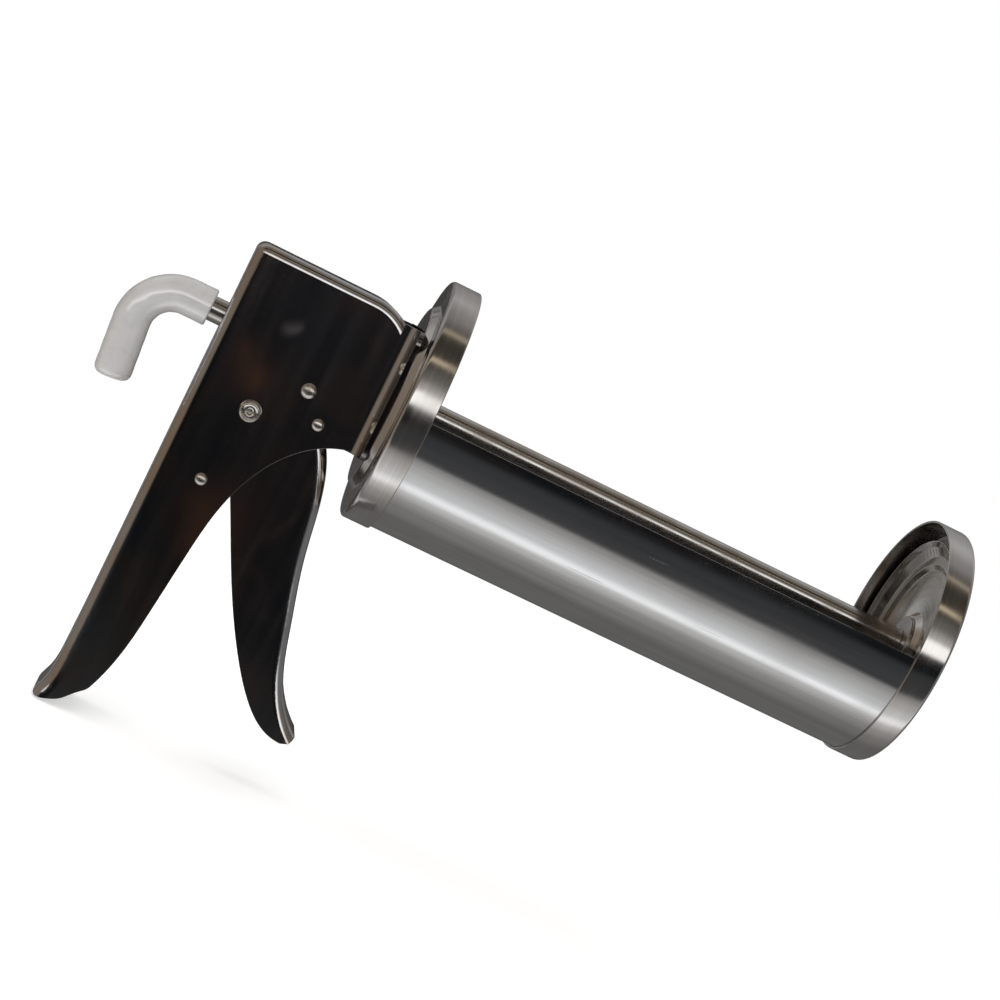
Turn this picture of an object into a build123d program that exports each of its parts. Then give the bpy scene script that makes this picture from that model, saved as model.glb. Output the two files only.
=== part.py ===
from build123d import *
import math
import os

# Caulking gun with a half-round cradle, a ratchet rod and a squeeze trigger. Millimetres.
# Origin: the centre of the rear cap's back face, on the rod's axis.
# +X runs forward along the rod, +Z up, and the handle hangs down.

# ---- cradle: two pressed caps and a half-round barrel ----
CAP_RADIUS = 40.7
CAP_DEPTH = 12.0
CAP_SHEET = 0.9
CAP_BEND = 1.4                  # outer radius of the corner between rim and floor
CAP_STEP = 2.3                  # how far the middle of the floor is pressed out
STEP_RADII = (29.8, 31.8)       # of the top and the foot of that step
CRADLE_LENGTH = 189.9           # back face of the rear cap to front face of the front cap
BARREL_SHEET = 0.9
BARREL_RADIUS = CAP_RADIUS - CAP_SHEET
BARREL_START = CAP_STEP + CAP_BEND + 0.1
NOZZLE_RADIUS = 12.0            # hole in the front cap for the tube's nozzle
NOZZLE_LIP = 1.5                # height of the collar drawn out around that hole
NOZZLE_LIP_SHEET = 0.8

# ---- rod ----
ROD_RADIUS = 4.0
NECK_RADIUS = 3.0               # thin front end that turns in the piston
HOOK_BEND = 13.05               # radius of the bend, on the rod's centre line
HOOK_START = -68.5
HOOK_TURN = 95.0                # degrees
HOOK_LEG = 17.6
SLEEVE_RADIUS = 6.0
SLEEVE_START = -61.1
SLEEVE_OVERHANG = 1.0           # the sleeve reaches past the rod's cut end
TOOTH_PITCH = 3.0
TOOTH_DEPTH = 0.9
TOOTH_SLOPE = 2.4               # length of a notch's sloping side
TOOTH_WALL = -16.1              # steep wall of the notch over the catch pawl's tip
TEETH_BEHIND = 9                # notches behind that one
TEETH_AHEAD = 53                # notches in front of it

# ---- piston: a stepped disc, its rim towards the rear ----
PISTON_SHEET = 0.8
PISTON_FACE = 186.2             # rear side of the disc's deepest ring
PISTON_STEPS = [                # x from there, radius: the disc's rear side, from the middle out
    (-1.6, 9.6), (0.0, 11.4), (0.0, 26.6), (-1.3, 28.0), (-1.3, 31.0), (-3.2, 33.6), (-5.2, 35.3),
]
WASHER_RADIUS = 9.0
WASHER_THICKNESS = 1.2
COLLAR_RADIUS = 6.5
COLLAR_THICKNESS = 1.2

# ---- guides for the rod, and the rivets between frame and cap ----
BUSH_FLANGE = 1.0
FRONT_BUSH_RADIUS = 7.0
FRONT_BUSH_FLANGE = 9.5
FRONT_BUSH_BACK = -4.0
REAR_BUSH_RADIUS = 6.5
REAR_BUSH_FLANGE = 8.5
REAR_BUSH_FRONT = -51.3
RIVET_Y = 21.5
RIVET_Z = 10.0
RIVET_RADIUS = 1.3
RIVET_HEAD = 2.1
RIVET_HEAD_HEIGHT = 1.1

# ---- clearances ----
RUNNING = 0.05                  # radial, between a shaft and its hole
END_PLAY = 0.1
PAWL_GAP = 0.35                 # tip of a pawl below the rod

# ---- handle frame: a sheet channel ----
FRAME_HALF = 14.0               # half its outer width
FRAME_SHEET = 1.5
SPINE_X = -56.8
SPINE_BEND = 4.5
FRAME_TOP = 25.9
TOP_BEND = 3.0
TOP_SLOT_HALF = 8.5             # half the width of the slot between the two top lips
SHOULDER_X = -16.8              # where the top starts to curve down to the flanges
FRAME_FRONT = -6.1
SHOULDER_Z = 22.5
FRAME_BOTTOM = -20.7
FLANGE_BEND = 4.6               # inner radius of the bend from plate to flange
FLANGE_REACH = 25.0             # outer edge of each flange, from the middle
FLANGE_CORNER = 4.0
GRIP_EDGE = [                   # x, z along the open front edge, downwards
    (-6.1, -20.7), (-18.3, -27.6), (-26.7, -38.4), (-32.4, -53.0), (-35.6, -73.0), (-37.3, -87.5),
    (-39.2, -102.5), (-44.3, -120.8),
]
GRIP_TIP = [(-47.3, -124.1), (-51.0, -127.9), (-55.4, -130.0)]
SPINE_TAIL = [(-59.7, -129.6), (-58.1, -125.0), (-57.0, -114.0), (-56.8, -98.0)]
TOP_SLOT_START = -49.8          # rear end of the slot

# ---- pins through the side plates: x, z ----
TRIGGER_PIVOT = (-37.1, -22.4)
CATCH_PIVOT = (-23.7, -9.0)
SPRING_PIN = (-16.6, -17.2)
STOP_PIN = (-41.5, -47.7)
TRIGGER_PIN_RADIUS = 2.5
TRIGGER_PIN_HEAD = (3.5, 1.6)   # radius and height of the domed head, as for the next three
CATCH_PIN_RADIUS = 1.75
CATCH_PIN_HEAD = (2.4, 1.0)
SPRING_PIN_RADIUS = 1.3
SPRING_PIN_HEAD = (1.9, 0.8)
STOP_PIN_RADIUS = 1.4
STOP_PIN_HEAD = (1.9, 0.8)
SPACER_RADIUS = 2.0

# ---- trigger: a smaller channel inside the frame ----
TRIGGER_HALF = 11.2
TRIGGER_SHEET = 1.4
TRIGGER_BEND = 3.5
BUSH_RADIUS = 3.6
BUSH_END_GAP = 0.2              # between each end of the bush and the frame's plate
DRIVE_PIVOT = (-41.8, -12.0)
DRIVE_PIN_RADIUS = 1.5
DRIVE_PIN_HEAD = (2.3, 0.8)
TRIGGER_FRONT = [               # x, z down the front wall
    (-11.4, -22.0), (-9.4, -25.5), (-1.8, -56.9), (3.8, -78.4), (7.4, -90.6), (12.6, -101.2),
    (20.2, -109.6),
]
TRIGGER_TIP = [(19.1, -112.0), (16.4, -112.9)]
TRIGGER_REAR = [(9.2, -111.0), (1.0, -104.2), (-7.0, -93.8), (-16.8, -77.6), (-31.9, -47.5)]
TRIGGER_BACK = [                # round the pivot and over the top, back to the front wall
    (-37.3, -39.0), (-44.8, -31.0), (-46.4, -20.0), (-46.4, -8.6), (-38.3, -8.0), (-31.8, -14.0),
    (-20.8, -20.6),
]

# ---- pawls ----
PAWL_HALF = 2.5
PAWL_HUB = 3.6
ARM_BACK = (-1.5, 3.2)          # the arm's two corners at the hub, from the pivot
ARM_FRONT = (2.4, -2.6)
ARM_TIP = [(-2.2, -1.0), (-0.6, 0.0), (0.0, 0.0), (0.0, -2.2)]      # from the arm's highest front corner
TIP_BEHIND_WALL = 0.3
CATCH_TAIL = (-26.4, -15.6)
TAIL_HALF = 0.8                 # half the thickness of the catch pawl's tail
TAIL_HOLE = 0.8
TAIL_ROOT = [(-3.4, -1.0), (1.5, -3.0)]                             # from the pivot
TAIL_END = [(1.5, 0.6), (1.2, -1.3), (-1.2, -1.5), (-1.8, 0.0)]     # from the spring's hole
DRIVE_NOTCHES_BACK = 6          # the drive pawl works this many notches behind the catch pawl

# ---- springs: wire radii, and the radius of each winding ----
TRIGGER_WIRE = 0.7
TRIGGER_COIL = 4.8
TRIGGER_TURNS = 5
TRIGGER_LEAVE = (48, 135)       # angles from +X towards +Z where the two legs leave the winding
TRIGGER_LEGS = (31.4, 19.4)
DRIVE_WIRE = 0.36
DRIVE_COIL = 2.4
DRIVE_TURNS = 3
DRIVE_LEAVE = (315, 180)
DRIVE_LEGS = (5.6, 5.0)
DRIVE_SPRING_Y = 4.4            # middle of its winding, beside the pawl
WINDING_GAP = 0.15              # between one turn and the next
CATCH_WIRE = 0.3
CATCH_TURNS = 5
CATCH_COIL = 1.6


def along_x(radius, start, end):
    return Pos((start + end) / 2, 0, 0) * Rot(0, 90, 0) * Cylinder(radius, end - start)


def along_y(radius, place, low, high):
    return Pos(place[0], (low + high) / 2, place[1]) * Rot(90, 0, 0) * Cylinder(radius, high - low)


def side_plate(outline, half):
    """A profile drawn in x and z, thickened to both sides of the middle plane."""
    return Pos(0, half, 0) * extrude(Plane.XZ * outline, amount=2 * half)


def turned(points):
    """A solid turned about the rod's axis from a profile of (x, radius) corners."""
    return revolve(make_face(Polyline(*points, close=True)), Axis.X, 360)


def dome(radius, height):
    """A shallow rivet head standing on the plane z = 0."""
    ball = (radius * radius + height * height) / (2 * height)
    return Pos(0, 0, height - ball) * Sphere(ball) & Pos(0, 0, height / 2) * Cylinder(radius, height)


def inset(curve, depth, count):
    """A curve that follows another at a fixed depth, on the left of its direction."""
    points = []
    for step in range(count):
        place = step / (count - 1)
        tangent = curve % place
        points.append(curve @ place + depth * Vector(-tangent.Y, tangent.X, 0))
    return Spline(*points)


# ---- cradle ----

SIN_45 = math.sqrt(0.5)


def cap_cup(start, radius, bend):
    """The solid round a cap's stepped floor, from its floor at x = start to past its open end."""
    top, foot = STEP_RADII
    floor = start + CAP_STEP
    end = CAP_DEPTH + (start > 0)
    wall = [(start, 0), (start, top), (floor, foot), (floor, radius - bend)]
    corner = ThreePointArc(
        wall[-1], (floor + bend * (1 - SIN_45), radius - bend * (1 - SIN_45)), (floor + bend, radius))
    rim = Polyline((floor + bend, radius), (end, radius), (end, 0), wall[0])
    return revolve(make_face([Polyline(*wall), corner, rim]), Axis.X, 360)


def cap_shell():
    """A round cup, opening towards +X. The middle of its floor is pressed out, and lies at x = 0."""
    return cap_cup(0, CAP_RADIUS, CAP_BEND) - cap_cup(CAP_SHEET, CAP_RADIUS - CAP_SHEET, CAP_BEND - CAP_SHEET)


def flange_rivet_places():
    return [(side * RIVET_Y, height) for side in (-1, 1) for height in (-RIVET_Z, RIVET_Z)]


def rear_cap():
    cap = cap_shell() - along_x(FRONT_BUSH_RADIUS, -1, CAP_SHEET + 1)
    for y, z in flange_rivet_places():
        cap -= Pos(0, y, z) * along_x(RIVET_RADIUS, -1, CAP_SHEET + 1)
    return cap


def front_cap():
    cap = Pos(CRADLE_LENGTH, 0, 0) * Rot(0, 0, 180) * cap_shell()
    end = CRADLE_LENGTH + NOZZLE_LIP
    lip = along_x(NOZZLE_RADIUS + NOZZLE_LIP_SHEET, CRADLE_LENGTH - CAP_SHEET, end)
    return cap + lip - along_x(NOZZLE_RADIUS, CRADLE_LENGTH - CAP_DEPTH, end + 1)


def barrel():
    """The lower half of a tube, with both ends inside the caps' rims."""
    end = CRADLE_LENGTH - BARREL_START
    inner = BARREL_RADIUS - BARREL_SHEET
    wall = [(BARREL_START, -BARREL_RADIUS), (end, -BARREL_RADIUS), (end, -inner), (BARREL_START, -inner)]
    return revolve(make_face(Polyline(*wall, close=True)), Axis.X, 180)


def cap_rivets():
    """Four domed rivets that hold the frame's flanges to the rear cap."""
    rivets = []
    for y, z in flange_rivet_places():
        shank = along_x(RIVET_RADIUS, -FRAME_SHEET, CAP_SHEET)
        back = dome(RIVET_HEAD, RIVET_HEAD_HEIGHT)
        front = Pos(CAP_SHEET, 0, 0) * Rot(0, 90, 0) * back
        rear = Pos(-FRAME_SHEET, 0, 0) * Rot(0, -90, 0) * back
        rivets.append(Pos(0, y, z) * (shank + front + rear))
    return Compound(rivets)


def front_rod_bush():
    """Flanged guide in the rear cap's middle."""
    body = along_x(FRONT_BUSH_RADIUS, FRONT_BUSH_BACK, CAP_SHEET)
    body += along_x(FRONT_BUSH_FLANGE, CAP_SHEET, CAP_SHEET + BUSH_FLANGE)
    return body - along_x(ROD_RADIUS + RUNNING, FRONT_BUSH_BACK - 1, CAP_SHEET + BUSH_FLANGE + 1)


def rear_rod_bush():
    """Flanged guide in the frame's spine, its flange against the spine's inner face."""
    inner_face = SPINE_X + FRAME_SHEET
    body = along_x(REAR_BUSH_RADIUS, SPINE_X, REAR_BUSH_FRONT)
    body += along_x(REAR_BUSH_FLANGE, inner_face, inner_face + BUSH_FLANGE)
    return body - along_x(ROD_RADIUS + RUNNING, SPINE_X - 1, REAR_BUSH_FRONT + 1)


# ---- handle frame ----

def spine_curve():
    """Back edge of the channel in side view, from its flared foot up to the top corner."""
    foot = Spline(*SPINE_TAIL, tangents=[(0.2, 1), (0, 1)])
    return foot, Line(SPINE_TAIL[-1], (SPINE_X, FRAME_TOP))


def frame_outline():
    foot, back = spine_curve()
    top = Line((SPINE_X, FRAME_TOP), (SHOULDER_X, FRAME_TOP))
    shoulder = TangentArc((SHOULDER_X, FRAME_TOP), (FRAME_FRONT, SHOULDER_Z), tangent=(1, 0))
    front = Line((FRAME_FRONT, SHOULDER_Z), GRIP_EDGE[0])
    grip = Spline(*GRIP_EDGE)
    tip = Spline(GRIP_EDGE[-1], *GRIP_TIP, SPINE_TAIL[0], tangents=[grip % 1, (-0.2, 1)])
    return make_face([foot, back, top, shoulder, front, grip, tip])


def frame_hollow_outline():
    """Inside of the channel in side view. It runs out past the open front and the foot."""
    foot, back = spine_curve()
    inner_foot = inset(foot, -FRAME_SHEET, 7)
    inner_top = FRAME_TOP - FRAME_SHEET
    past_front = FRAME_FRONT + 10
    past_tip = GRIP_TIP[-1][1] - 10
    corner = (SPINE_X + FRAME_SHEET, inner_top)
    shoulder_end = (FRAME_FRONT, SHOULDER_Z - FRAME_SHEET)
    below_foot = ((inner_foot @ 0).X, past_tip)
    return make_face([
        inner_foot,
        Line(inner_foot @ 1, corner),
        Line(corner, (SHOULDER_X, inner_top)),
        TangentArc((SHOULDER_X, inner_top), shoulder_end, tangent=(1, 0)),
        Polyline(shoulder_end, (past_front, shoulder_end[1]), (past_front, past_tip), below_foot,
                 inner_foot @ 0),
    ])


def flange(side):
    """One side plate's front edge, bent outwards against the rear cap."""
    outer = FRAME_HALF + FLANGE_BEND
    inner = FRAME_HALF - FRAME_SHEET
    profile = make_face([
        Line((FRAME_FRONT, inner), (FRAME_FRONT, FRAME_HALF)),
        TangentArc((FRAME_FRONT, FRAME_HALF), (-FRAME_SHEET, outer), tangent=(1, 0)),
        Polyline((-FRAME_SHEET, outer), (-FRAME_SHEET, FLANGE_REACH), (0, FLANGE_REACH), (0, outer)),
        TangentArc((0, outer), (FRAME_FRONT, inner), tangent=(0, -1)),
    ])
    strip = extrude(Pos(0, 0, FRAME_BOTTOM) * profile, amount=SHOULDER_Z - FRAME_BOTTOM)
    corners = strip.edges().filter_by(Axis.X).group_by(Axis.Y)[-1]
    strip = fillet(corners, FLANGE_CORNER)
    for y, z in flange_rivet_places():
        strip -= Pos(0, abs(y), z) * along_x(RIVET_RADIUS, FRAME_FRONT, 1)
    return strip if side > 0 else mirror(strip, Plane.XZ)


def handle_frame():
    inner_half = FRAME_HALF - FRAME_SHEET
    body = side_plate(frame_outline(), FRAME_HALF)
    body = fillet([edge for edge in body.edges() if on_spine(edge, FRAME_HALF)], SPINE_BEND)
    body = fillet([edge for edge in body.edges() if on_top(edge, FRAME_HALF)], TOP_BEND)
    hollow = side_plate(frame_hollow_outline(), inner_half)
    body -= fillet([edge for edge in hollow.edges() if on_spine(edge, inner_half)], SPINE_BEND - FRAME_SHEET)
    slot_length = FRAME_FRONT + 1 - TOP_SLOT_START
    slot = Box(slot_length, 2 * TOP_SLOT_HALF, FRAME_TOP)
    body -= Pos(TOP_SLOT_START + slot_length / 2, 0, FRAME_TOP) * slot
    body += flange(1) + flange(-1)
    body -= along_x(REAR_BUSH_RADIUS, SPINE_X - 1, SPINE_X + FRAME_SHEET + 1)
    holes = [(TRIGGER_PIVOT, TRIGGER_PIN_RADIUS), (CATCH_PIVOT, CATCH_PIN_RADIUS),
             (SPRING_PIN, SPRING_PIN_RADIUS), (STOP_PIN, STOP_PIN_RADIUS)]
    for place, radius in holes:
        body -= along_y(radius, place, -FRAME_HALF - 1, FRAME_HALF + 1)
    return body


def in_side(edge, half):
    """Whether an edge lies flat in one side of a channel of this half width."""
    return edge.bounding_box().size.Y < 0.01 and abs(abs(edge.center().Y) - half) < 0.01


def on_spine(edge, half):
    """Whether an edge runs down the channel's back."""
    box = edge.bounding_box()
    return in_side(edge, half) and box.max.X < SPINE_X + 4 and box.size.Z > 5


def on_top(edge, half):
    """Whether an edge runs along the channel's top."""
    box = edge.bounding_box()
    return in_side(edge, half) and box.min.Z > SHOULDER_Z - 0.1 and box.size.X > 5


# ---- pins through the frame ----

def headed_pin(place, radius, head, half):
    """A riveted pin across a channel's side plates, with a domed head outside each."""
    pin = along_y(radius, place, -half, half)
    pin += Pos(place[0], -half, place[1]) * Rot(90, 0, 0) * dome(*head)
    return pin + Pos(place[0], half, place[1]) * Rot(-90, 0, 0) * dome(*head)


def trigger_pin():
    return headed_pin(TRIGGER_PIVOT, TRIGGER_PIN_RADIUS, TRIGGER_PIN_HEAD, FRAME_HALF)


def catch_pin():
    return headed_pin(CATCH_PIVOT, CATCH_PIN_RADIUS, CATCH_PIN_HEAD, FRAME_HALF)


def spring_pin():
    return headed_pin(SPRING_PIN, SPRING_PIN_RADIUS, SPRING_PIN_HEAD, FRAME_HALF)


def stop_pin():
    return headed_pin(STOP_PIN, STOP_PIN_RADIUS, STOP_PIN_HEAD, FRAME_HALF)


def grip_spacer():
    """Tube on the lowest pin: it keeps the plates apart and stops the trigger."""
    half = FRAME_HALF - FRAME_SHEET
    return along_y(SPACER_RADIUS, STOP_PIN, -half, half) - along_y(STOP_PIN_RADIUS, STOP_PIN, -half, half)


# ---- trigger ----

def trigger_outline():
    front = Spline(*TRIGGER_FRONT)
    tip = Polyline(TRIGGER_FRONT[-1], *TRIGGER_TIP)
    rear = Spline(TRIGGER_TIP[-1], *TRIGGER_REAR)
    back = Polyline(TRIGGER_REAR[-1], *TRIGGER_BACK, TRIGGER_FRONT[0])
    return make_face([front, tip, rear, back])


def trigger_hollow_outline():
    """Inside of the trigger's channel: it follows the front wall and is open behind."""
    inner = inset(Spline(*TRIGGER_FRONT), -TRIGGER_SHEET, 12)
    start = inner @ 0
    end = inner @ 1
    low = end.Y - 10
    high = start.Y + 30
    behind = Polyline(end, (end.X, low), (SPINE_X, low), (SPINE_X, high), (start.X, high), start)
    return make_face([inner, behind])


def trigger():
    body = side_plate(trigger_outline(), TRIGGER_HALF)
    front = [edge for edge in body.edges() if on_trigger_front(edge, TRIGGER_HALF)]
    body = fillet(front, TRIGGER_BEND)
    inner_half = TRIGGER_HALF - TRIGGER_SHEET
    hollow = side_plate(trigger_hollow_outline(), inner_half)
    front = [edge for edge in hollow.edges() if on_trigger_front(edge, inner_half)]
    body -= fillet(front, TRIGGER_BEND - TRIGGER_SHEET)
    body -= along_y(BUSH_RADIUS, TRIGGER_PIVOT, -TRIGGER_HALF - 1, TRIGGER_HALF + 1)
    return body - along_y(DRIVE_PIN_RADIUS, DRIVE_PIVOT, -TRIGGER_HALF - 1, TRIGGER_HALF + 1)


def on_trigger_front(edge, half):
    """Whether an edge runs down the trigger's front wall."""
    box = edge.bounding_box()
    return in_side(edge, half) and box.size.Z > 60 and box.max.X > TRIGGER_TIP[-1][0] + TRIGGER_SHEET


def trigger_bush():
    """Sleeve pressed through the trigger's plates, turning on the pivot pin."""
    half = FRAME_HALF - FRAME_SHEET - BUSH_END_GAP
    bore = along_y(TRIGGER_PIN_RADIUS + RUNNING, TRIGGER_PIVOT, -half, half)
    return along_y(BUSH_RADIUS, TRIGGER_PIVOT, -half, half) - bore


def drive_pawl_pin():
    return headed_pin(DRIVE_PIVOT, DRIVE_PIN_RADIUS, DRIVE_PIN_HEAD, TRIGGER_HALF)


# ---- pawls ----

def moved(points, place):
    return [(place[0] + x, place[1] + z) for x, z in points]


def pawl(pivot, pin_radius, wall):
    """A hub with an arm up and forward to the notch whose steep wall is at x = wall."""
    tip = (wall - TIP_BEHIND_WALL, -ROD_RADIUS - PAWL_GAP)
    corners = moved([ARM_BACK], pivot) + moved(ARM_TIP, tip) + moved([ARM_FRONT], pivot)
    arm = side_plate(make_face(Polyline(*corners, close=True)), PAWL_HALF)
    body = arm + along_y(PAWL_HUB, pivot, -PAWL_HALF, PAWL_HALF)
    return body - along_y(pin_radius + RUNNING, pivot, -PAWL_HALF, PAWL_HALF)


def drive_pawl():
    """Carried by the trigger: it pushes the rod forward."""
    return pawl(DRIVE_PIVOT, DRIVE_PIN_RADIUS, TOOTH_WALL - DRIVE_NOTCHES_BACK * TOOTH_PITCH)


def catch_pawl():
    """Carried by the frame: it stops the rod from moving back. A thin tail below takes its spring."""
    corners = moved(TAIL_ROOT, CATCH_PIVOT) + moved(TAIL_END, CATCH_TAIL)
    tail = side_plate(make_face(Polyline(*corners, close=True)), TAIL_HALF)
    tail -= along_y(TAIL_HOLE, CATCH_TAIL, -TAIL_HALF, TAIL_HALF)
    tail -= along_y(CATCH_PIN_RADIUS + RUNNING, CATCH_PIVOT, -TAIL_HALF, TAIL_HALF)
    return pawl(CATCH_PIVOT, CATCH_PIN_RADIUS, TOOTH_WALL) + tail


# ---- springs ----

def coil(radius, wire, turns, pitch):
    """Round wire wound about Z, starting at z = 0 on the +X side."""
    path = Helix(pitch=pitch, height=turns * pitch, radius=radius)
    section = Plane(origin=path @ 0, z_dir=path % 0) * Circle(wire)
    return sweep(section, path=path)


def wire_between(start, end, wire):
    """A straight length of wire between two points."""
    run = Vector(end) - Vector(start)
    return Plane(origin=start, z_dir=run) * Pos(0, 0, run.length / 2) * Cylinder(wire, run.length)


def torsion_spring(pivot, radius, wire, turns, angles, legs, middle):
    """Wire wound about a cross pin, with a straight leg along the tangent at each end."""
    pitch = 2 * wire + WINDING_GAP
    full = turns + (angles[1] - angles[0]) / 360
    width = full * pitch
    winding = Rot(90, 0, 0) * Rot(0, 0, angles[0]) * coil(radius, wire, full, pitch)
    spring = Pos(pivot[0], middle + width / 2, pivot[1]) * winding
    for angle, leg, way in ((angles[0], legs[0], 1), (angles[1], legs[1], -1)):
        turn = math.radians(angle)
        middle_of_end = Vector(pivot[0], middle + way * width / 2, pivot[1])
        start = middle_of_end + radius * Vector(math.cos(turn), 0, math.sin(turn))
        spring += wire_between(start, start + way * leg * Vector(math.sin(turn), 0, -math.cos(turn)), wire)
    return spring


def trigger_spring():
    """One leg bears on the spine, the other on the trigger's front wall."""
    return torsion_spring(
        TRIGGER_PIVOT, TRIGGER_COIL, TRIGGER_WIRE, TRIGGER_TURNS, TRIGGER_LEAVE, TRIGGER_LEGS, 0)


def drive_pawl_spring():
    """One leg lies under the pawl's arm, the other turns out against the trigger's side plate."""
    spring = torsion_spring(
        DRIVE_PIVOT, DRIVE_COIL, DRIVE_WIRE, DRIVE_TURNS, DRIVE_LEAVE, DRIVE_LEGS, DRIVE_SPRING_Y)
    x, z = DRIVE_PIVOT
    foot = Vector(x - DRIVE_COIL, DRIVE_SPRING_Y - DRIVE_COIL / 2, z - DRIVE_LEGS[1])
    plate = Vector(foot.X, TRIGGER_HALF - TRIGGER_SHEET - RUNNING, foot.Z)
    return spring + wire_between(foot, plate, DRIVE_WIRE)


def catch_spring():
    """Tension spring from the catch pawl's tail to its anchor pin."""
    run = Vector(SPRING_PIN[0] - CATCH_TAIL[0], SPRING_PIN[1] - CATCH_TAIL[1])
    ring = SPRING_PIN_RADIUS + CATCH_WIRE + RUNNING
    start = 2 * CATCH_COIL
    end = run.length - ring - CATCH_WIRE
    winding = coil(CATCH_COIL, CATCH_WIRE, CATCH_TURNS, (end - start) / CATCH_TURNS)
    spring = Pos(CATCH_COIL, 0, 0) * Torus(CATCH_COIL, CATCH_WIRE)
    spring += Pos(start, 0, 0) * Rot(0, 90, 0) * winding
    spring += wire_between((start, 0, 0), (start, 0, -CATCH_COIL), CATCH_WIRE)
    spring += wire_between((end, 0, 0), (end, 0, -CATCH_COIL), CATCH_WIRE)
    spring += wire_between((end, 0, 0), (run.length - ring, 0, 0), CATCH_WIRE)
    spring += Pos(run.length, 0, 0) * Rot(90, 0, 0) * Torus(ring, CATCH_WIRE)
    tilt = math.degrees(math.atan2(run.Y, run.X))
    return Pos(CATCH_TAIL[0], 0, CATCH_TAIL[1]) * Rot(0, -tilt, 0) * spring


# ---- rod ----

def hook_path(start, leg):
    """Centre line from x = start back along the rod, round the bend and down the leg."""
    straight = Line((start, 0), (HOOK_START, 0))
    bend = CenterArc((HOOK_START, -HOOK_BEND), HOOK_BEND, 90, HOOK_TURN)
    down = Line(bend @ 1, bend @ 1 + leg * (bend % 1))
    return Wire([Plane.XZ * piece for piece in (straight, bend, down)])


def teeth():
    """The notches' outline, cut from below. Each has a steep wall in front and a slope behind."""
    low = -ROD_RADIUS - 0.05
    points = []
    for notch in range(-TEETH_BEHIND, TEETH_AHEAD + 1):
        wall = TOOTH_WALL + notch * TOOTH_PITCH
        points += [(wall - TOOTH_SLOPE, low), (wall, TOOTH_DEPTH - ROD_RADIUS), (wall, low)]
    points += [(points[-1][0], low - 1), (points[0][0], low - 1)]
    return side_plate(make_face(Polyline(*points, close=True)), ROD_RADIUS)


def rod():
    shoulder = PISTON_FACE + PISTON_STEPS[0][0] - WASHER_THICKNESS - END_PLAY
    path = hook_path(shoulder, HOOK_LEG)
    body = sweep(Plane(origin=path @ 0, z_dir=path % 0) * Circle(ROD_RADIUS), path=path)
    body += along_x(NECK_RADIUS, shoulder, collar_start() + COLLAR_THICKNESS)
    return body - teeth()


def hook_sleeve():
    """Vinyl tube over the hook."""
    path = hook_path(SLEEVE_START, HOOK_LEG + SLEEVE_OVERHANG)
    start = Plane(origin=path @ 0, z_dir=path % 0)
    return sweep(start * (Circle(SLEEVE_RADIUS) - Circle(ROD_RADIUS)), path=path)


def collar_start():
    return PISTON_FACE + PISTON_STEPS[0][0] + PISTON_SHEET + END_PLAY


def rod_end_collar():
    """Riveted on the rod's neck, in the hollow on the front of the piston."""
    start = collar_start()
    end = start + COLLAR_THICKNESS
    return along_x(COLLAR_RADIUS, start, end) - along_x(NECK_RADIUS, start, end)


# ---- piston ----

def piston_disc():
    """Pressed disc with a raised middle, a step near its edge and a rim that flares back."""
    bore = NECK_RADIUS + RUNNING
    back = [(PISTON_FACE + PISTON_STEPS[0][0], bore)] + [(PISTON_FACE + x, r) for x, r in PISTON_STEPS]
    front = [(x + PISTON_SHEET, r) for x, r in reversed(back)]
    return turned(back + front)


def piston_washer():
    """Backing washer between the rod's shoulder and the disc."""
    end = PISTON_FACE + PISTON_STEPS[0][0]
    start = end - WASHER_THICKNESS
    return along_x(WASHER_RADIUS, start, end) - along_x(NECK_RADIUS + RUNNING, start - 1, end + 1)


NODES = {
    "rear_cap": rear_cap,
    "front_cap": front_cap,
    "barrel": barrel,
    "cap_rivets": cap_rivets,
    "handle_frame": handle_frame,
    "front_rod_bush": front_rod_bush,
    "rear_rod_bush": rear_rod_bush,
    "trigger_pin": trigger_pin,
    "catch_pin": catch_pin,
    "spring_pin": spring_pin,
    "stop_pin": stop_pin,
    "grip_spacer": grip_spacer,
    "trigger_spring": trigger_spring,
    "catch_spring": catch_spring,
    "trigger": trigger,
    "trigger_bush": trigger_bush,
    "drive_pawl_pin": drive_pawl_pin,
    "drive_pawl_spring": drive_pawl_spring,
    "drive_pawl": drive_pawl,
    "catch_pawl": catch_pawl,
    "rod": rod,
    "hook_sleeve": hook_sleeve,
    "rod_end_collar": rod_end_collar,
    "piston_disc": piston_disc,
    "piston_washer": piston_washer,
}

os.makedirs("parts", exist_ok=True)
for name, build in NODES.items():
    export_step(build(), f"parts/{name}.step")
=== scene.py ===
import math

import bpy
import numpy as np
from mathutils import Euler, Matrix, Vector


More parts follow.
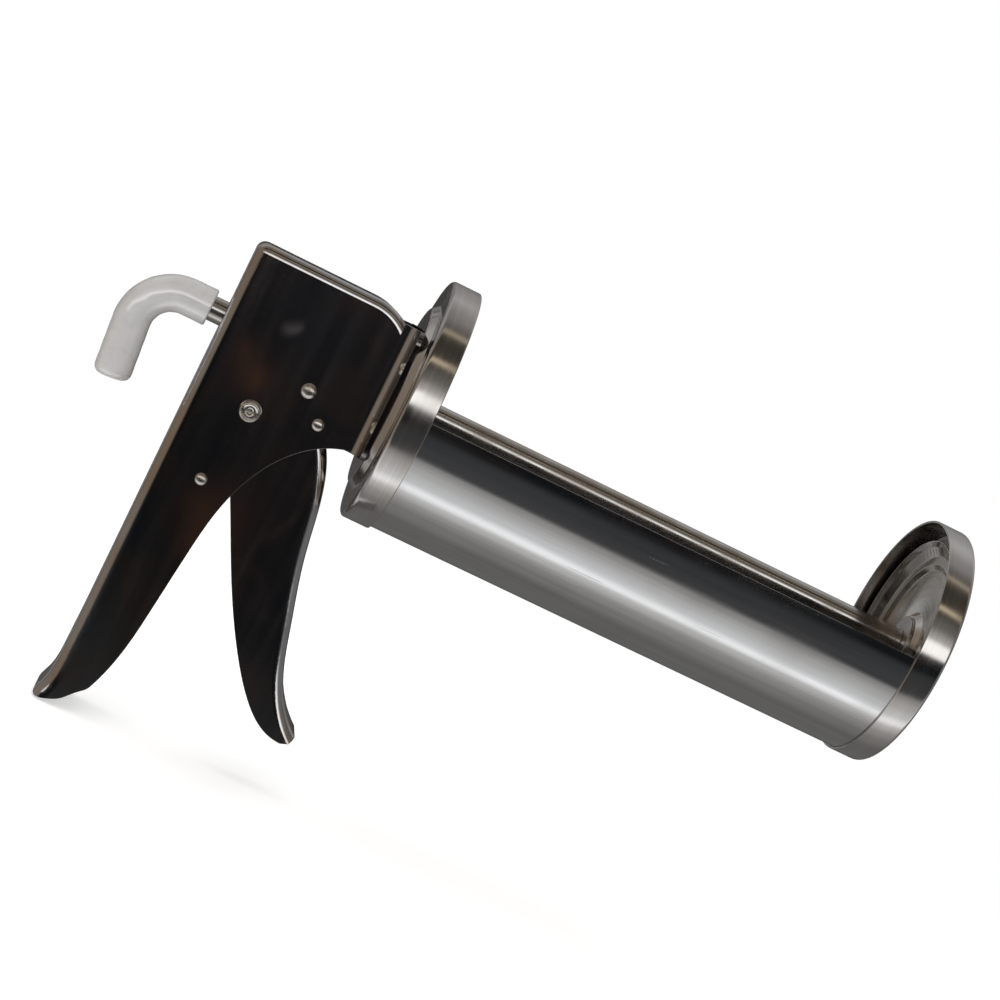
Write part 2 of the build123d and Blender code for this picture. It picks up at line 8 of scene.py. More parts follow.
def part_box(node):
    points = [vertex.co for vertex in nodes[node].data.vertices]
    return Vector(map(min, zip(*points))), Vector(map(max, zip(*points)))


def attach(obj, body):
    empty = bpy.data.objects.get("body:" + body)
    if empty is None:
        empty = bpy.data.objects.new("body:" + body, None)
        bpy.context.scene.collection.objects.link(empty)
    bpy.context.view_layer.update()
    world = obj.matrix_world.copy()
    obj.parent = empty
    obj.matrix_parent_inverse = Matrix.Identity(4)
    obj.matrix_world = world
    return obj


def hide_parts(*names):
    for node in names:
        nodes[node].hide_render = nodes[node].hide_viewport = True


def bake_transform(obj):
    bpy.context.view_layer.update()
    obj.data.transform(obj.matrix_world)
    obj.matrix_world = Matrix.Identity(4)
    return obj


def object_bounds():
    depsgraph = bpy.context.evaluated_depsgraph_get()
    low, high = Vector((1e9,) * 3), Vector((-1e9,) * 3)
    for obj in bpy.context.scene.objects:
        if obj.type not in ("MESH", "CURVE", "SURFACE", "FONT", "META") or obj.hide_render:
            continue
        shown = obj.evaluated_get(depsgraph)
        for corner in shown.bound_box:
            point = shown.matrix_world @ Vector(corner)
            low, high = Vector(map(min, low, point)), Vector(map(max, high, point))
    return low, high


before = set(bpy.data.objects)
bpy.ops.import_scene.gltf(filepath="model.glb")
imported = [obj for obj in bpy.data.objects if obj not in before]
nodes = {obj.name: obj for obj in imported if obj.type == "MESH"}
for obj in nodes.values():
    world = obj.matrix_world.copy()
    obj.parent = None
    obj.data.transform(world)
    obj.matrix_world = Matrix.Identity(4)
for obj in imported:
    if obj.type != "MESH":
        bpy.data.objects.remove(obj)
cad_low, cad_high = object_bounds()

MM = 0.001


# ---- rear cap ----
# A shallow cup pressed from thin stainless sheet, with its middle pressed out where the handle
# is riveted on. The rim's cut edge is tumbled smooth and the whole is polished to a soft satin.

def rounded_outline(corners, radii, steps=7):
    """Closed outline with its corners rounded. Each corner becomes the arc of its own radius that
    touches both sides: the arc's centre is on the bisector, radius / sin(half the angle) away."""
    corners = np.asarray(corners, float)
    before = np.roll(corners, 1, axis=0) - corners
    after = np.roll(corners, -1, axis=0) - corners
    before /= np.linalg.norm(before, axis=1)[:, None]
    after /= np.linalg.norm(after, axis=1)[:, None]
    half = np.arccos(np.clip((before * after).sum(axis=1), -1, 1)) / 2
    radii = np.asarray(radii, float)
    bisector = before + after
    bisector /= np.linalg.norm(bisector, axis=1)[:, None]
    centre = corners + bisector * (radii / np.sin(half))[:, None]
    reach = (radii / np.tan(half))[:, None]
    first = corners + before * reach - centre
    last = corners + after * reach - centre
    sweep = (math.pi - 2 * half)[:, None, None]
    share = np.linspace(0, 1, steps)[None, :, None]
    towards_last = np.sin(share * sweep) * last[:, None]
    arc = (np.sin((1 - share) * sweep) * first[:, None] + towards_last) / np.sin(sweep)
    return (centre[:, None] + arc).reshape(-1, 2)


def solid_mesh(name, points, faces):
    """A mesh from points and faces, turned inside out if its volume comes out negative. The
    volume is a sixth of the sum, over fans of each face, of corner . (corner x corner)."""
    mesh = bpy.data.meshes.new(name)
    mesh.from_pydata(points.tolist(), [], faces)
    mesh.calc_loop_triangles()
    triangles = np.empty(3 * len(mesh.loop_triangles), np.int32)
    mesh.loop_triangles.foreach_get("vertices", triangles)
    a, b, c = points[triangles.reshape(-1, 3)].transpose(1, 0, 2)
    if (a * np.cross(b, c)).sum() < 0:
        mesh.flip_normals()
    mesh.shade_smooth()
    mesh.set_sharp_from_angle(angle=math.radians(38))
    piece = bpy.data.objects.new(name, mesh)
    bpy.context.scene.collection.objects.link(piece)
    return piece


def turned_faces(rows, sectors, closed, start=0):
    """Quads between neighbouring rings. A closed line joins its last ring to its first. An open
    one has a single point before its first ring and after its last, each joined by a fan."""
    ring = np.arange(sectors)
    step = np.roll(ring, -1)
    low = np.arange(rows if closed else rows - 1)[:, None]
    high = (low + 1) % rows
    low, high = low * sectors, high * sectors
    quads = np.stack([low + ring, low + step, high + step, high + ring], -1)
    faces = (quads.reshape(-1, 4) + start).tolist()
    if not closed:
        poles = start + rows * sectors
        last = start + (rows - 1) * sectors
        faces += np.stack([start + step, start + ring, np.full(sectors, poles)], -1).tolist()
        faces += np.stack([last + ring, last + step, np.full(sectors, poles + 1)], -1).tolist()
    return faces


def turned_piece(name, line, axis, centres=((0, 0, 0),), sectors=160):
    """A line of (along, radius) points carried round an axis: at angle a a point lies at radius
    cos a and radius sin a on the two other axes. A line that starts and ends at radius 0 is a
    solid with a pole at each end, any other is a closed outline. It is repeated at each centre."""
    line = np.asarray(line, float)
    closed = line[0, 1] > 0
    rings = line if closed else line[1:-1]
    angle = np.linspace(0, 2 * math.pi, sectors, endpoint=False)
    across = rings[:, 1, None] * np.cos(angle)
    upward = rings[:, 1, None] * np.sin(angle)
    along = np.repeat(rings[:, :1], sectors, axis=1)
    order = {"X": (along, across, upward), "Y": (across, along, upward)}[axis]
    shape = np.stack(order, -1).reshape(-1, 3)
    if not closed:
        poles = np.zeros((2, 3))
        poles[:, "XY".index(axis)] = line[[0, -1], 0]
        shape = np.vstack([shape, poles])
    faces = []
    for number in range(len(centres)):
        faces += turned_faces(len(rings), sectors, closed, number * len(shape))
    points = (np.asarray(centres, float)[:, None] + shape[None]).reshape(-1, 3)
    return solid_mesh(name, points, faces)


def stands_for(piece, node, body):
    """The piece takes the CAD node's place on that body: the node is hidden and the piece hangs
    from the body.
    """
    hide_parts(node)
    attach(piece, body)


def add(tree, kind, settings=None, **inputs):
    """A new shader node. Settings are its own properties. Inputs are values or other nodes'
    sockets, and in0, in1 and so on name a socket by its place."""
    node = tree.nodes.new("ShaderNode" + kind)
    for key, value in (settings or {}).items():
        setattr(node, key, value)
    for key, value in inputs.items():
        socket = node.inputs[int(key[2:]) if key[:2] == "in" else key.replace("_", " ")]
        if isinstance(value, bpy.types.NodeSocket):
            tree.links.new(value, socket)
        else:
            socket.default_value = value
    return node


def new_group(name, inputs, outputs):
    """An empty shader node group with (name, kind, value) inputs and named value outputs."""
    group = bpy.data.node_groups.new(name, "ShaderNodeTree")
    for label, kind, value in inputs:
        socket = group.interface.new_socket(label, in_out="INPUT", socket_type="NodeSocket" + kind)
        if value is not None:
            socket.default_value = value
    for label in outputs:
        group.interface.new_socket(label, in_out="OUTPUT", socket_type="NodeSocketFloat")
    return group, group.nodes.new("NodeGroupInput").outputs, group.nodes.new("NodeGroupOutput")


SMOOTH = {"interpolation_type": "SMOOTHSTEP"}

# Wear shared by every bare metal: streaks left by rolling, drawing or turning, soft dull patches
# from hands and oil, and hairline scratches in two directions that come and go.
wear, wear_in, wear_out = new_group(
    "metal_wear",
    [("Place", "Vector", None), ("Streaks", "Vector", (1.0, 1.0, 1.0)), ("Patches", "Float", 30.0)],
    ["Grain", "Patch", "Scratch", "Dust"])
stretched = add(wear, "VectorMath", {"operation": "MULTIPLY"}, in0=wear_in["Place"],
                in1=wear_in["Streaks"])
grain = add(wear, "TexNoise", Vector=stretched.outputs[0], Scale=1.0, Detail=4.0, Roughness=0.6)
wear.links.new(grain.outputs["Fac"], wear_out.inputs["Grain"])
smear = add(wear, "TexNoise", Vector=wear_in["Place"], Scale=wear_in["Patches"], Detail=5.0,
            Roughness=0.55, Distortion=0.8)
smear_edge = add(wear, "MapRange", SMOOTH, Value=smear.outputs["Fac"],
                 From_Min=0.42, From_Max=0.66)
wear.links.new(smear_edge.outputs[0], wear_out.inputs["Patch"])
lines = []
for tilt in ((0.35, 0.5, 0.6), (-0.5, -0.9, 0.25)):
    turned = add(wear, "Mapping", Vector=wear_in["Place"], Rotation=tilt,
                 Scale=(35.0, 2600.0, 35.0))
    hair = add(wear, "TexNoise", Vector=turned.outputs[0], Scale=1.0, Detail=1.0)
    lines.append(add(wear, "MapRange", Value=hair.outputs["Fac"], From_Min=0.70, From_Max=0.76))
both = add(wear, "Math", {"operation": "MAXIMUM"}, in0=lines[0].outputs[0], in1=lines[1].outputs[0])
where_rubbed = add(wear, "TexNoise", Vector=wear_in["Place"], Scale=55.0, Detail=2.0)
rubbed = add(wear, "MapRange", Value=where_rubbed.outputs["Fac"], From_Min=0.5, From_Max=0.62)
scratch = add(wear, "Math", {"operation": "MULTIPLY"}, in0=both.outputs[0], in1=rubbed.outputs[0])
wear.links.new(scratch.outputs[0], wear_out.inputs["Scratch"])
speck = add(wear, "TexNoise", Vector=wear_in["Place"], Scale=1400.0, Detail=2.0)
specks = add(wear, "MapRange", Value=speck.outputs["Fac"], From_Min=0.66, From_Max=0.74)
wear.links.new(specks.outputs[0], wear_out.inputs["Dust"])

# Where the turning tool or the spinning lathe left rings about the rod's axis: the place is
# remade as (along the axis, distance from it, a little of the angle), so that streaks run round.
rings, rings_in, rings_out = new_group("round_the_rod", [("Place", "Vector", None)], [])
rings.interface.new_socket("Place", in_out="OUTPUT", socket_type="NodeSocketVector")
apart = add(rings, "SeparateXYZ", Vector=rings_in["Place"])
side_on = add(rings, "CombineXYZ", Y=apart.outputs["Y"], Z=apart.outputs["Z"])
off_axis = add(rings, "VectorMath", {"operation": "LENGTH"}, in0=side_on.outputs[0])
lean = add(rings, "Math", {"operation": "ADD"}, in0=apart.outputs["Y"], in1=apart.outputs["Z"])
lathe_place = add(rings, "CombineXYZ", X=apart.outputs["X"], Y=off_axis.outputs["Value"],
                  Z=lean.outputs[0])
rings.links.new(lathe_place.outputs[0], rings_out.inputs[0])


def bare_metal(name, colour, dulled, smooth, rough, streaks, patches, relief, edge=0.0,
               spun=False):
    """Bare metal with wear. The colour goes over to the dulled one, and the smooth value to the
    rough one, by the soft patches. Relief is how strongly streaks and scratches tilt the surface,
    edge the radius by which sharp sheet edges are softened, and spun runs the streaks in rings."""
    finish = bpy.data.materials.new(name)
    finish.use_nodes = True
    tree = finish.node_tree
    shader = tree.nodes["Principled BSDF"]
    place = add(tree, "TexCoord").outputs["Object"]
    if spun:
        place = add(tree, "Group", {"node_tree": rings}, Place=place).outputs[0]
    marks = add(tree, "Group", {"node_tree": wear}, Place=place, Streaks=streaks, Patches=patches)
    tone = add(tree, "Mix", {"data_type": "RGBA"}, Factor=marks.outputs["Patch"],
               A=(*colour, 1.0), B=(*dulled, 1.0))
    fine = add(tree, "MapRange", Value=marks.outputs["Grain"], From_Min=0.3, From_Max=0.7,
               To_Min=0.9, To_Max=1.05)
    shade = add(tree, "VectorMath", {"operation": "SCALE"}, in0=tone.outputs["Result"],
                Scale=fine.outputs[0])
    tree.links.new(shade.outputs[0], shader.inputs["Base Color"])
    rougher = add(tree, "MapRange", Value=marks.outputs["Patch"], To_Min=smooth, To_Max=rough)
    for mark, amount in (("Grain", 0.12), ("Scratch", 0.2), ("Dust", 0.06)):
        rougher = add(tree, "Math", {"operation": "MULTIPLY_ADD"}, in0=marks.outputs[mark],
                      in1=amount, in2=rougher.outputs[0])
    grain_mean = 0.06
    settled = add(tree, "Math", {"operation": "SUBTRACT"}, in0=rougher.outputs[0], in1=grain_mean)
    tree.links.new(settled.outputs[0], shader.inputs["Roughness"])
    height = add(tree, "Math", {"operation": "SUBTRACT"}, in0=marks.outputs["Grain"],
                 in1=marks.outputs["Scratch"])
    relief_map = add(tree, "Bump", Strength=relief, Distance=0.02 * MM, Height=height.outputs[0])
    if edge:
        softened = add(tree, "Bevel", {"samples": 6}, Radius=edge)
        tree.links.new(softened.outputs[0], relief_map.inputs["Normal"])
    tree.links.new(relief_map.outputs[0], shader.inputs["Normal"])
    shader.inputs["Metallic"].default_value = 1.0
    return finish


cap_low, cap_high = np.array(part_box("rear_cap"))
cap_radius = cap_high[1]
cap_depth = cap_high[0] - cap_low[0]
cap_sheet = 0.9 * MM
cap_step = 2.3 * MM
cap_step_top, cap_step_foot = 29.8 * MM, 31.8 * MM
cap_bend = 1.4 * MM
cut_edge = 0.38 * MM            # radius on each side of a tumbled sheet edge
step_rounding = (1.1 * MM, 0.8 * MM)
rim_corner = 0.5 * MM
bore_edge = 0.05 * MM
bush_bore = 7.0 * MM
rim_inside = cap_radius - cap_sheet
step_inside = cap_step + cap_sheet

cap_line = [
    (0, bush_bore), (0, cap_step_top), (cap_step, cap_step_foot), (cap_step, cap_radius),
    (cap_depth, cap_radius), (cap_depth, rim_inside), (step_inside, rim_inside),
    (step_inside, cap_step_foot), (cap_sheet, cap_step_top), (cap_sheet, bush_bore),
]
cap_rounding = [
    bore_edge, *step_rounding, cap_bend, cut_edge, cut_edge, rim_corner, *step_rounding, bore_edge]
rear_cap = turned_piece("rear_cap_pressing", rounded_outline(cap_line, cap_rounding), "X")
satin_cap = bare_metal(
    "satin_cap", (0.66, 0.64, 0.62), (0.58, 0.55, 0.52), smooth=0.12, rough=0.2,
    streaks=(500.0, 500.0, 5.0), patches=26.0, relief=0.1, spun=True)
rear_cap.data.materials.append(satin_cap)
stands_for(rear_cap, "rear_cap", "frame")


# ---- front rod guide ----
# A turned steel bush with a flange, pushed through the rear cap's middle and swaged over. It is
# left as it came off the lathe, so fine rings show on the flange.

def finished(node, finish):
    """A CAD piece whose shape is kept gets its finish."""
    nodes[node].data.materials.clear()
    nodes[node].data.materials.append(finish)


turned_steel = bare_metal(
    "turned_bush_steel", (0.60, 0.585, 0.57), (0.46, 0.43, 0.40), smooth=0.2, rough=0.34,
    streaks=(900.0, 900.0, 8.0), patches=60.0, relief=0.3, spun=True)
for node in ("front_rod_bush", "rear_rod_bush", "trigger_bush", "grip_spacer"):
    finished(node, turned_steel)


# ---- barrel ----
# Half a tube, rolled from stainless sheet and spot-welded inside the two caps' rims. Its long
# edges are deburred to a small round, and the rolling streaks run along it.

barrel_low, barrel_high = np.array(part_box("barrel"))
barrel_radius = barrel_high[1]
barrel_sheet = 0.9 * MM
edge_lift = 0.04 * MM


def barrel_outline(outer, sheet, lift, steps=144, edge_steps=9):
    """Half a ring open upwards. The outer wall runs at the outer radius from one long edge round
    the bottom to the other, the inner wall runs back, and each edge is half an ellipse, as wide
    as the sheet and lift high, whose top is level with the rod's axis."""
    start = lift / outer
    turn = np.linspace(start, math.pi - start, steps)
    bead = np.linspace(0, math.pi, edge_steps)[1:-1]
    middle, half = outer - sheet / 2, sheet / 2
    outside = np.stack([outer * np.cos(turn), -outer * np.sin(turn)], -1)
    left_edge = np.stack([-(middle + half * np.cos(bead)), lift * (np.sin(bead) - 1)], -1)
    inside = np.stack([-(outer - sheet) * np.cos(turn), -(outer - sheet) * np.sin(turn)], -1)
    right_edge = left_edge[::-1] * (-1, 1)
    return np.vstack([outside, left_edge, inside, right_edge])


outline = barrel_outline(barrel_radius, barrel_sheet, edge_lift)
stations = np.linspace(barrel_low[0], barrel_high[0], 25)
count = len(outline)
wall = np.empty((len(stations), count, 3))
wall[..., 0] = stations[:, None]
wall[..., 1:] = outline
low = np.arange(len(stations) - 1)[:, None] * count
here = np.arange(count)
after = np.roll(here, -1)
strips = np.stack([low + here, low + after, low + count + after, low + count + here], -1)
barrel_faces = strips.reshape(-1, 4).tolist()
barrel_faces += [here[::-1].tolist(), (here + (len(stations) - 1) * count).tolist()]
barrel = solid_mesh("barrel_half_tube", wall.reshape(-1, 3), barrel_faces)
rolled_sheet = bare_metal(
    "rolled_barrel_sheet", (0.68, 0.68, 0.68), (0.62, 0.615, 0.61), smooth=0.09, rough=0.15,
    streaks=(10.0, 420.0, 420.0), patches=22.0, relief=0.04)
barrel.data.materials.append(rolled_sheet)
stands_for(barrel, "barrel", "frame")


# ---- front cap ----
# The same pressing turned round, with a hole for the tube's nozzle whose edge is drawn out into
# a short collar. It is made and finished like the rear cap.

front_low, front_high = np.array(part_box("front_cap"))
front_open = front_low[0]
front_face = front_open + cap_depth
front_step = front_face - cap_step
nozzle_radius = 12.0 * MM
collar_sheet = 0.8 * MM
collar_foot, collar_bend, collar_edge = 0.5 * MM, 0.6 * MM, 0.3 * MM
front_line = [
    (front_face, nozzle_radius + collar_sheet), (front_face, cap_step_top),
    (front_step, cap_step_foot), (front_step, cap_radius), (front_open, cap_radius),
    (front_open, rim_inside), (front_step - cap_sheet, rim_inside),
    (front_step - cap_sheet, cap_step_foot), (front_face - cap_sheet, cap_step_top),
    (front_face - cap_sheet, nozzle_radius), (front_high[0], nozzle_radius),
    (front_high[0], nozzle_radius + collar_sheet),
]
front_rounding = [
    collar_foot, *step_rounding, cap_bend, cut_edge, cut_edge, rim_corner, *step_rounding,
    collar_bend, collar_edge, collar_edge]
front_cap = turned_piece("front_cap_pressing", rounded_outline(front_line, front_rounding), "X")
front_cap.data.materials.append(satin_cap)
stands_for(front_cap, "front_cap", "frame")


# ---- handle frame ----
# One stainless sheet folded into a channel: the spine behind, two plates that are also the grip's
# sides, and two flanges bent out against the rear cap. It is buffed to a mirror after bending.

buffed_frame = bare_metal(
    "buffed_handle_sheet", (0.60, 0.595, 0.60), (0.56, 0.49, 0.43), smooth=0.07, rough=0.11,
    streaks=(260.0, 260.0, 14.0), patches=38.0, relief=0.04, edge=0.22 * MM)
# Painted shade: the sheet's colour is darkened to 0.35 of itself in the corner between the flanges
# and the cap, where shade falls.
painted_shade_start, painted_shade_end = -2.8 * MM, -1.6 * MM
frame_tree = buffed_frame.node_tree
frame_shader = frame_tree.nodes["Principled BSDF"]
unshaded_sheet = frame_shader.inputs["Base Color"].links[0].from_socket
frame_place = add(frame_tree, "SeparateXYZ", Vector=add(frame_tree, "TexCoord").outputs["Object"])
# Painted shade mask: 1 away from the cap, falling to 0.35 in the corner against it.
painted_corner_shade = add(frame_tree, "MapRange", SMOOTH, Value=frame_place.outputs["X"],
                 From_Min=painted_shade_start, From_Max=painted_shade_end, To_Min=1.0, To_Max=0.35)
corner_shaded_sheet = add(frame_tree, "VectorMath", {"operation": "SCALE"}, in0=unshaded_sheet,
               Scale=painted_corner_shade.outputs[0])
frame_tree.links.new(corner_shaded_sheet.outputs[0], frame_shader.inputs["Base Color"])
finished("handle_frame", buffed_frame)


# ---- rivets between handle and cap ----
# Four short steel rivets through the flanges and the cap's raised middle, each set to a low dome
# on both sides.

rivet_low, rivet_high = np.array(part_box("cap_rivets"))
rivet_head = 2.1 * MM
rivet_shank = 1.3 * MM
flange_sheet = 1.5 * MM
rivet_y = rivet_high[1] - rivet_head
rivet_z = rivet_high[2] - rivet_head
low_dome = np.array([(0, 1.0), (0.3, 0.96), (0.55, 0.83), (0.76, 0.6), (0.92, 0.28), (1.0, 0.0)])


def riveted(shape, head_radius, rear, rear_seat, shank, front_seat, front):
    """The line of a pin with a head at each end: the head's shape, given as fractions of its
    radius and height, from the rear pole out to its edge and in to the shank, then reversed."""
    outward, height = head_radius * shape[:, 0], shape[:, 1]
    rear_head = np.stack([rear_seat + (rear - rear_seat) * height, outward], -1)
    front_head = np.stack([front_seat + (front - front_seat) * height, outward], -1)
    return np.vstack([rear_head, [(rear_seat, shank), (front_seat, shank)], front_head[::-1]])


rivet_line = riveted(low_dome, rivet_head, rivet_low[0], -flange_sheet, rivet_shank, cap_sheet,
                     rivet_high[0])
rivet_places = [(0, side * rivet_y, level * rivet_z) for side in (-1, 1) for level in (-1, 1)]
rivets = turned_piece("set_rivets", rivet_line, "X", rivet_places, sectors=40)
bright_rivet = bare_metal(
    "bright_rivet_steel", (0.74, 0.71, 0.66), (0.58, 0.52, 0.45), smooth=0.2, rough=0.34,
    streaks=(700.0, 700.0, 700.0), patches=240.0, relief=0.25)
rivets.data.materials.append(bright_rivet)
stands_for(rivets, "cap_rivets", "frame")


# ---- pins across the handle ----
# Steel pins through both plates. The trigger's pivot is set with a hollow punch, which leaves a
# ring and a dimple in its head. The three thinner ones have plain low domes.

plate_half = 14.0 * MM
ringed_head = np.array([
    (0, 0.6), (0.18, 0.63), (0.3, 0.92), (0.4, 1.0), (0.58, 0.97), (0.66, 0.9), (0.7, 0.66),
    (0.75, 0.68), (0.8, 0.78), (0.9, 0.64), (0.97, 0.35), (1.0, 0.0)])


def cross_pin(node, shape, shank, half_width, body, sectors):
    """A pin across the handle, with a head set against a face half_width away on each side."""
    pin_low, pin_high = np.array(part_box(node))
    middle = (pin_low + pin_high) / 2
    head_radius = (pin_high[0] - pin_low[0]) / 2
    line = riveted(shape, head_radius, pin_low[1], -half_width, shank, half_width, pin_high[1])
    pin = turned_piece(node + "_set", line, "Y", [(middle[0], 0, middle[2])], sectors)
    pin.data.materials.append(bright_rivet)
    stands_for(pin, node, body)


for node, shape, shank in (
        ("trigger_pin", ringed_head, 2.5 * MM), ("catch_pin", low_dome, 1.75 * MM),
        ("spring_pin", low_dome, 1.3 * MM), ("stop_pin", low_dome, 1.4 * MM)):
    cross_pin(node, shape, shank, plate_half, "frame", sectors=64)


# ---- catch pawl and its spring ----
# A small hardened lever on its own pin, with a tail drawn forward by a tension spring of thin
# wire. It is dark from hardening and wet with oil.

dark_pawl = bare_metal(
    "oiled_pawl_steel", (0.30, 0.285, 0.27), (0.16, 0.13, 0.11), smooth=0.26, rough=0.42,
    streaks=(300.0, 500.0, 300.0), patches=180.0, relief=0.4)
spring_wire = bare_metal(
    "drawn_spring_wire", (0.50, 0.49, 0.48), (0.33, 0.30, 0.28), smooth=0.25, rough=0.4,
    streaks=(900.0, 900.0, 900.0), patches=260.0, relief=0.2)
for node, finish in (
        ("catch_pawl", dark_pawl), ("drive_pawl", dark_pawl), ("drive_pawl_spring", spring_wire)):
    finished(node, finish)


def sprung(node):
    """A merged copy of a spring's mesh, its near corners welded into one, that takes the hidden CAD
    node's place where it stands."""
    source = nodes[node].data
    corners = np.empty(3 * len(source.vertices), np.float32)
    source.vertices.foreach_get("co", corners)
    corners = corners.reshape(-1, 3)
    triangles = np.empty(len(source.loops), np.int32)
    source.loops.foreach_get("vertex_index", triangles)
    weld = 0.001 * MM           # corners nearer than this are one
    keys = np.round(corners / weld).astype(np.int64)
    _, first, same = np.unique(keys, axis=0, return_index=True, return_inverse=True)
    triangles = same.reshape(-1)[triangles].reshape(-1, 3)
    whole = (triangles != np.roll(triangles, 1, axis=1)).all(axis=1)
    copy = solid_mesh(node + "_wire", corners[first].astype(float), triangles[whole].tolist())
    copy.data.materials.append(spring_wire)
    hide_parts(node)
    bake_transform(copy)


sprung("catch_spring")
sprung("trigger_spring")


# ---- trigger ----
# A narrower channel of the same buffed sheet, closed in front, which turns between the plates on
# a bush. The drive pawl hangs in it on a short pin, pressed up by a small wound spring.

buffed_trigger = bare_metal(
    "buffed_trigger_sheet", (0.60, 0.59, 0.585), (0.55, 0.50, 0.45), smooth=0.08, rough=0.13,
    streaks=(260.0, 260.0, 14.0), patches=42.0, relief=0.05, edge=0.25 * MM)
finished("trigger", buffed_trigger)

trigger_half = 11.2 * MM
cross_pin("drive_pawl_pin", low_dome, 1.5 * MM, trigger_half, "trigger", sectors=48)


# ---- rod ----
# Bright drawn bar with a row of notches cut along its underside, bent down at the rear to hang
# the gun by. Drawing leaves long fine streaks, and the pawls have dulled it here and there.

drawn_bar = bare_metal(
    "bright_drawn_bar", (0.62, 0.60, 0.575), (0.50, 0.46, 0.42), smooth=0.15, rough=0.26,
    streaks=(14.0, 900.0, 900.0), patches=45.0, relief=0.15, edge=0.2 * MM)
finished("rod", drawn_bar)


# ---- piston, with its washer and end collar ----
# A disc pressed in steps from thin sheet, its rim flaring back. It turns on the rod's neck
# between a backing washer and a collar riveted over the neck's end.

_, disc_high = np.array(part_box("piston_disc"))
disc_sheet = 0.8 * MM
disc_ring = disc_high[0] - disc_sheet           # rear side of its deepest ring
disc_steps = np.array([
    (-1.6, 3.05), (-1.6, 9.6), (0.0, 11.4), (0.0, 26.6),
    (-1.3, 28.0), (-1.3, 31.0), (-3.2, 33.6), (-5.2, 35.3)]) * MM
disc_back = disc_steps + (disc_ring, 0)
disc_front = disc_back[::-1] + (disc_sheet, 0)
disc_bends = np.array([0.05, 0.5, 0.5, 0.5, 0.4, 0.5, 0.7, 0.3]) * MM
disc_line = rounded_outline(
    np.vstack([disc_back, disc_front]), np.concatenate([disc_bends, disc_bends[::-1]]))
disc = turned_piece("piston_pressing", disc_line, "X")
pressed_disc = bare_metal(
    "pressed_piston_steel", (0.70, 0.68, 0.64), (0.60, 0.54, 0.46), smooth=0.11, rough=0.2,
    streaks=(700.0, 700.0, 6.0), patches=40.0, relief=0.15, spun=True)
disc.data.materials.append(pressed_disc)
stands_for(disc, "piston_disc", "piston")

ring_edge = 0.3 * MM
for node, body, bore, slot_name in (
        ("piston_washer", "piston", 3.05 * MM, "bush_steel"),
        ("rod_end_collar", "rod", 3.0 * MM, "rivet_steel")):
    ring_low, ring_high = np.array(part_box(node))
    rear, front, outer = ring_low[0], ring_high[0], ring_high[1]
    ring_line = rounded_outline(
        [(rear, bore), (rear, outer), (front, outer), (front, bore)],
        [bore_edge, ring_edge, ring_edge, bore_edge])
    ring = turned_piece(node + "_turned", ring_line, "X", sectors=96)
    ring.data.materials.append(turned_steel)
    stands_for(ring, node, body)


# ---- hook sleeve ----
# A length of milky soft vinyl tube pushed over the rod's hook. It reaches just past the cut end,
# where it is dipped closed and round, and thins a little where it is stretched round the bend.

_, sleeve_high = np.array(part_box("hook_sleeve"))
sleeve_radius = sleeve_high[1]
bar_radius = 4.0 * MM
sleeve_start = sleeve_high[0]
bend_start = -68.5 * MM
bend_radius = 13.05 * MM
bend_turn = math.radians(95)
leg_length = 18.6 * MM
straight = sleeve_start - bend_start
sleeve_length = straight + bend_radius * bend_turn + leg_length


def hook_centre(run):
    """Centre line of the hook and its outward normal, at a distance run from the sleeve's start:
    straight back, then a circle of the bend's radius, then straight along the last direction."""
    turn = np.clip((run - straight) / bend_radius, 0, bend_turn)
    before = np.minimum(run, straight)
    beyond = np.maximum(run - straight - bend_radius * bend_turn, 0)
    x = sleeve_start - before - bend_radius * np.sin(turn) - beyond * np.cos(turn)
    z = bend_radius * (np.cos(turn) - 1) - beyond * np.sin(turn)
    return np.stack([x, 0 * x, z], -1), np.stack([-np.sin(turn), 0 * x, np.cos(turn)], -1)


def hook_tube(name, runs, radii, sectors=72):
    """A tube about the hook's centre line: the point at run s and angle a is centre(s) +
    radius(s) (cos a normal(s) + sin a sideways), with a pole at each end."""
    centre, outward = hook_centre(runs)
    angle = np.linspace(0, 2 * math.pi, sectors, endpoint=False)[None, :, None]
    sideways = np.array((0.0, 1.0, 0.0))
    skin = centre[:, None] + radii[:, None, None] * (
        np.cos(angle) * outward[:, None] + np.sin(angle) * sideways)
    poles = np.stack([centre[0], hook_centre(np.array([sleeve_length]))[0][0]])
    points = np.vstack([skin.reshape(-1, 3), poles])
    return solid_mesh(name, points, turned_faces(len(runs), sectors, False))


lip_radius = 0.7 * MM
end_radius = 2.6 * MM
end_share = 0.985               # of the outer radius, where the sleeve's end is drawn in
slack, bend_thinning, ripple_height = 0.012, 0.016, 0.004
stretch_length = 9 * MM
ripple_length = 5.3 * MM
quarter = np.linspace(0, math.pi / 2, 10)
lip_run = lip_radius * (1 - np.cos(quarter))
lip_out = sleeve_radius - lip_radius + lip_radius * np.sin(quarter)
body_run = np.linspace(lip_radius, sleeve_length - end_radius, 90)[1:-1]
round_bend = np.exp(-((body_run - straight - bend_radius * bend_turn / 2) / stretch_length) ** 2)
ripple = np.sin(body_run * 2 * math.pi / ripple_length)
body_out = sleeve_radius * (1 - slack - bend_thinning * round_bend + ripple_height * ripple)
end_run = sleeve_length - end_radius + end_radius * np.sin(quarter)
end_out = sleeve_radius * end_share - end_radius + end_radius * np.cos(quarter)
sleeve = hook_tube(
    "hook_sleeve_dipped",
    np.concatenate([[0.0], lip_run, body_run, end_run]),
    np.concatenate([[bar_radius], lip_out, body_out, end_out]))

